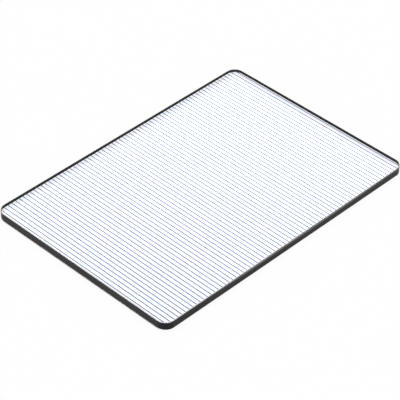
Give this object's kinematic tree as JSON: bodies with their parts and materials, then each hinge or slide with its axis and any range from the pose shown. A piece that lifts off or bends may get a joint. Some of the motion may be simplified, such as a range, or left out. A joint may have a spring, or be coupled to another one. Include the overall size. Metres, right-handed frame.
{
  "type": "rectangular streak lens filter",
  "caption": "Clear cemented glass plate with rounded corners, a grid of fine blue filaments inside and a black sealed edge.",
  "frame": {"origin": "middle of the rear face, where the plate lies on a flat surface", "axes": "+X along the long side, across the filaments; +Z out of the front face, along the optical axis"},
  "size_m": [0.1436, 0.1016, 0.004],
  "materials": {
    "clear_glass": "polished, ground bevel",
    "clear_cement": "clear optical cement",
    "blue_filament": "dyed cobalt blue",
    "black_seal": "satin black edge lacquer"
  },
  "bodies": {
    "root": {"front_glass": "clear_glass", "rear_glass": "clear_glass", "bond_layer": "clear_cement", "streak_lines": "blue_filament", "edge_seal": "black_seal"}
  },
  "joints": []
}
